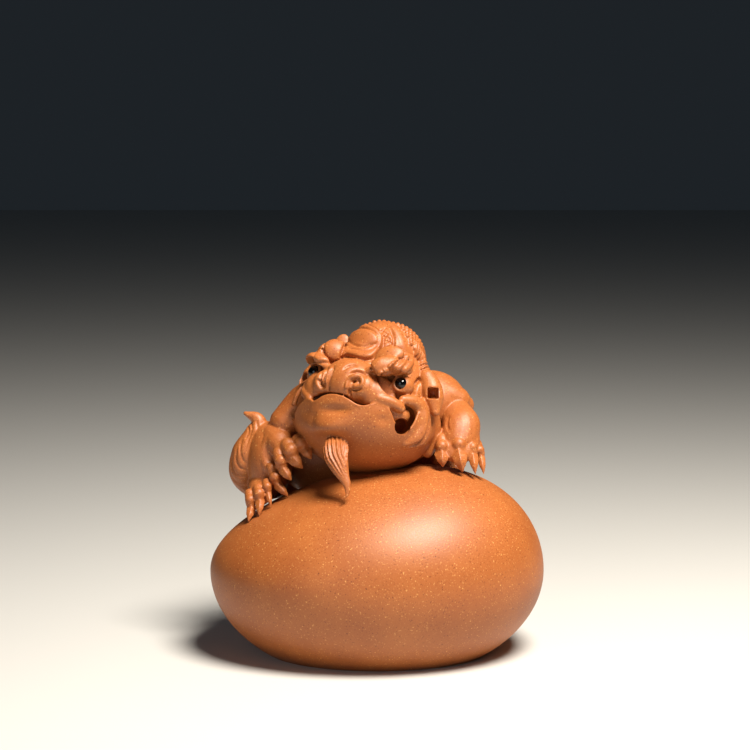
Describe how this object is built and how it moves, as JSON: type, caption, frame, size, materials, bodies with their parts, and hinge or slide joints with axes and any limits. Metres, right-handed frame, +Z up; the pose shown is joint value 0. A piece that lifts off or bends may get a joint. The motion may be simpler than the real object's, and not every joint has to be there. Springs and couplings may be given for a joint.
{
  "type": "pixiu tea pet",
  "caption": "Small unglazed stoneware figure of a crouching mythical beast with a broad upturned face, modelled in one with the egg-shaped stone it rests on.",
  "frame": {"origin": "middle of the flat foot under the stone, which is also the middle of the plan", "axes": "+X along the stone towards its blunt end, on the beast's left as the viewer faces it; -Y towards the viewer, the side the face looks to; +Z up"},
  "size_m": [0.08, 0.066, 0.0782],
  "materials": {
    "fired_clay": "unglazed red-brown stoneware, satin from polishing and tea, with fine lighter and darker grains",
    "bead_glass": "opaque black glass, fire polished"
  },
  "bodies": {
    "root": {"pixiu_on_stone": "fired_clay", "eye_bead_right": "bead_glass", "eye_bead_left": "bead_glass"}
  },
  "joints": []
}
